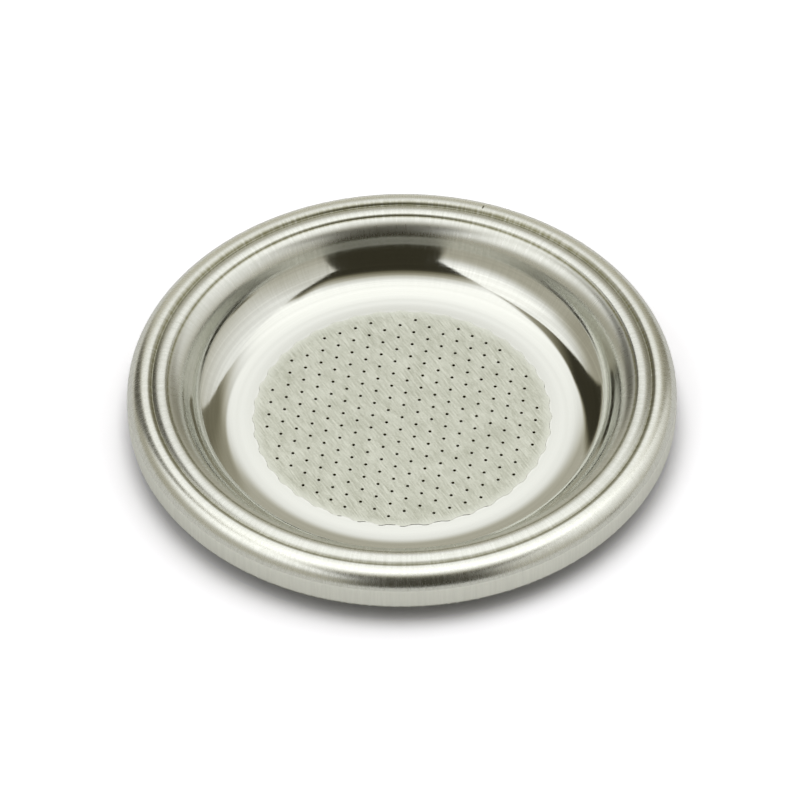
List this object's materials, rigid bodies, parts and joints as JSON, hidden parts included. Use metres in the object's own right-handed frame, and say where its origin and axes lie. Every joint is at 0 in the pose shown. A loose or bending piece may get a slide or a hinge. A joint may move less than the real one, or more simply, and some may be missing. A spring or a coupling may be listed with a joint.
{
  "type": "espresso pod filter basket",
  "caption": "Shallow round metal filter basket with a finely perforated floor, a flared dished wall, a grooved rim and a rolled edge, for a paper coffee pod.",
  "frame": {"origin": "on the axis, at the underside of the floor that the basket rests on", "axes": "+Z along the axis, out of the open dish; the basket is round, so +X and +Y only set how the rows of holes are turned"},
  "size_m": [0.07, 0.07, 0.0075],
  "materials": {
    "stainless_sheet": "polished dish and rim, belt-ground perforated field, satin edge band"
  },
  "bodies": {
    "root": {"filter_basket": "stainless_sheet"}
  },
  "joints": []
}
